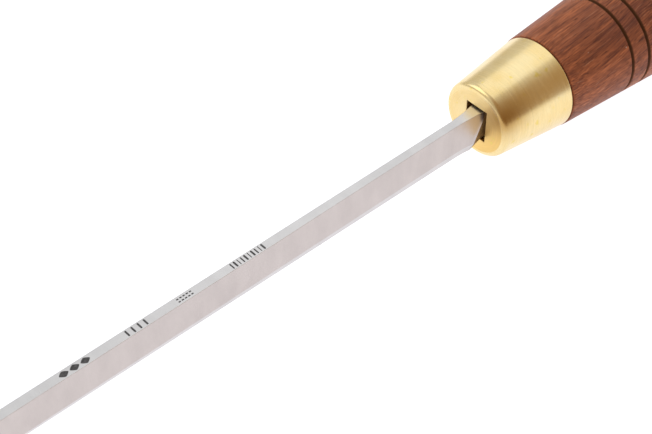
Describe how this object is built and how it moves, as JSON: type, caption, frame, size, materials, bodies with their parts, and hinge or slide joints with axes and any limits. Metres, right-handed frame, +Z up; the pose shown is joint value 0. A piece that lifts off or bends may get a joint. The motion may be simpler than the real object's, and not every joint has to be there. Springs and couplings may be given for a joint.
{
  "type": "v parting tool",
  "caption": "Hand tool with a long straight steel blade ending in a V, a tapered brass ferrule with a slotted end, and a turned dark hardwood handle with narrow grooves.",
  "frame": {"origin": "middle of the flat on the handle's butt, on the tool's axis", "axes": "+X along the tool from the butt to the cutting edge, +Z up through the open side of the V and square to the blade's narrow top band"},
  "size_m": [0.2591, 0.0246, 0.0246],
  "materials": {
    "ground_steel": "fine ground satin, with cross scratches from the wheel",
    "spun_brass": "turned and softly brushed, bright at the edges",
    "dark_hardwood": "fine-pored red-brown hardwood under satin wax",
    "etched_mark": "flush dark etching on the band"
  },
  "bodies": {
    "root": {"blade": "ground_steel", "ferrule": "spun_brass", "handle": "dark_hardwood"}
  },
  "joints": []
}
